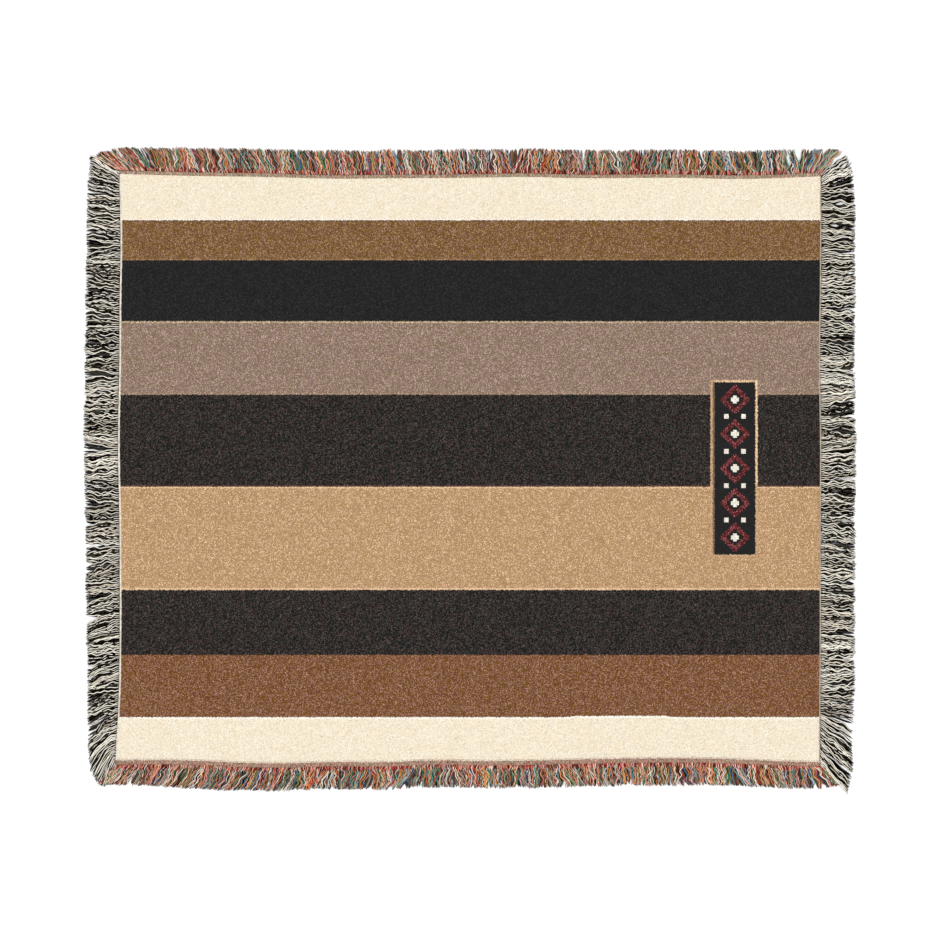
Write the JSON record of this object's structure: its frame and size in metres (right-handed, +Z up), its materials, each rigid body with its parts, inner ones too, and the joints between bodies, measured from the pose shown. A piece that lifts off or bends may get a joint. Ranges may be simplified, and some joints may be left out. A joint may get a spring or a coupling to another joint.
{
  "type": "fringed woven throw blanket",
  "caption": "Flat rectangular woven throw blanket with broad cross stripes, narrow woven headings, and loose yarn fringe along every side.",
  "frame": {"origin": "on the floor under the middle of the blanket's outline, fringe included", "axes": "+X along the stripes towards the side with the woven patch, +Y across the stripes towards the end with the narrower heading, +Z up from the floor"},
  "size_m": [1.5234, 1.2712, 0.0036],
  "materials": {
    "woven_cloth": "matt woven cotton in broad stripes of cream, brown, black, taupe, near black and tan, flecked by its mixed yarns",
    "warp_fringe": "loose cotton yarns in many colours, redder at their roots",
    "weft_fringe": "loose crimped cotton yarns, cream and black by turns"
  },
  "bodies": {
    "root": {"cloth": "woven_cloth", "fringe_top": "warp_fringe", "fringe_bottom": "warp_fringe", "fringe_left": "weft_fringe", "fringe_right": "weft_fringe"}
  },
  "joints": []
}
